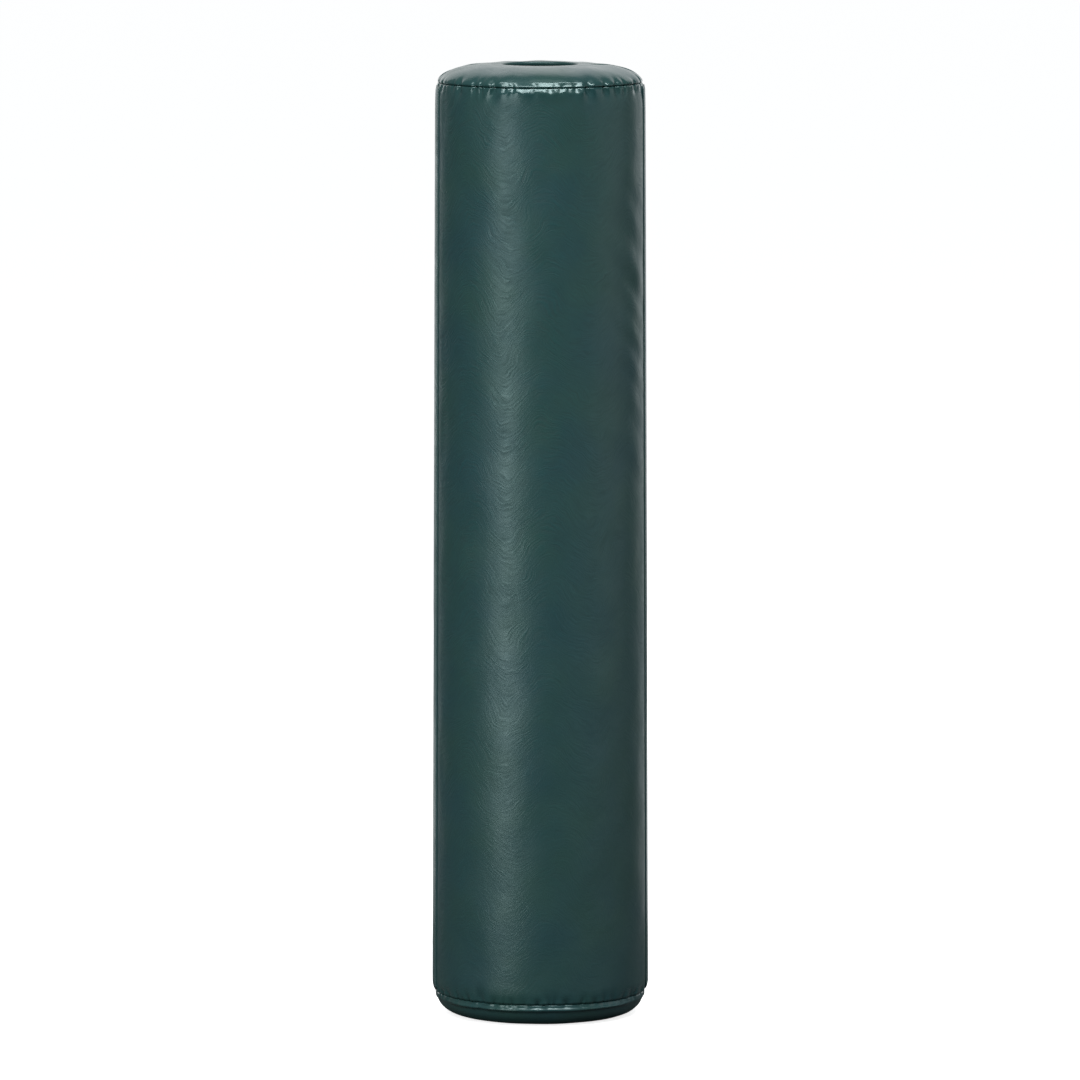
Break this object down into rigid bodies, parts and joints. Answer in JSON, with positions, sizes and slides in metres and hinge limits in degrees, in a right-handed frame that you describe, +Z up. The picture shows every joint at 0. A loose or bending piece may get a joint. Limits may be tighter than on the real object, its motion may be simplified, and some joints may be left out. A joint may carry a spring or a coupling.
{
  "type": "goal post pad",
  "caption": "Round foam sleeve in vinyl cover that opens like a clamshell on a fabric spine and closes round a gooseneck goal post with a hook-and-loop flap.",
  "frame": {"origin": "on the post's axis, at the level of the pad's base", "axes": "+Z up along the post; -Y out through the front half, towards the viewer of the picture; +X towards the closure flap, -X towards the spine hinge"},
  "size_m": [0.4182, 0.412, 1.829],
  "materials": {
    "vinyl": "dark bottle-green vinyl-coated fabric, satin with a fine leather grain",
    "foam": "cream polyurethane foam, matt",
    "tape": "black nylon hook and loop tape",
    "eyelet": "nickel-plated eyelet"
  },
  "bodies": {
    "back_half": {"back_foam_core": "foam", "back_outer_wall": "vinyl", "back_top_panel": "vinyl", "back_bottom_panel": "vinyl", "back_post_groove_liner": "vinyl", "back_hinge_side_face": "vinyl", "back_closure_side_face": "vinyl", "back_spine_strip": "vinyl", "back_vent_lower": "eyelet", "back_vent_upper": "eyelet", "back_loop_tape": "tape"},
    "front_half": {"front_foam_core": "foam", "front_outer_wall": "vinyl", "front_top_panel": "vinyl", "front_bottom_panel": "vinyl", "front_post_groove_liner": "vinyl", "front_hinge_side_face": "vinyl", "front_closure_side_face": "vinyl", "front_spine_strip": "vinyl", "front_vent_lower": "eyelet", "front_vent_upper": "eyelet"},
    "flap": {"closure_flap": "vinyl", "flap_hook_tape": "tape"}
  },
  "joints": [
    {"name": "clamshell_hinge", "type": "hinge", "parent": "back_half", "child": "front_half", "pos_m": [-0.2083, 0, 0], "axis": [0, 0, -1], "range_deg": [0, 170]},
    {"name": "flap_peel", "type": "hinge", "parent": "front_half", "child": "flap", "pos_m": [0.20835, 0, 0.044], "axis": [0.0043, 0, -1], "range_deg": [0, 180]}
  ],
  "couplings": [
    {"joint": "flap_peel", "follows": "clamshell_hinge", "ratio": 1.05}
  ]
}
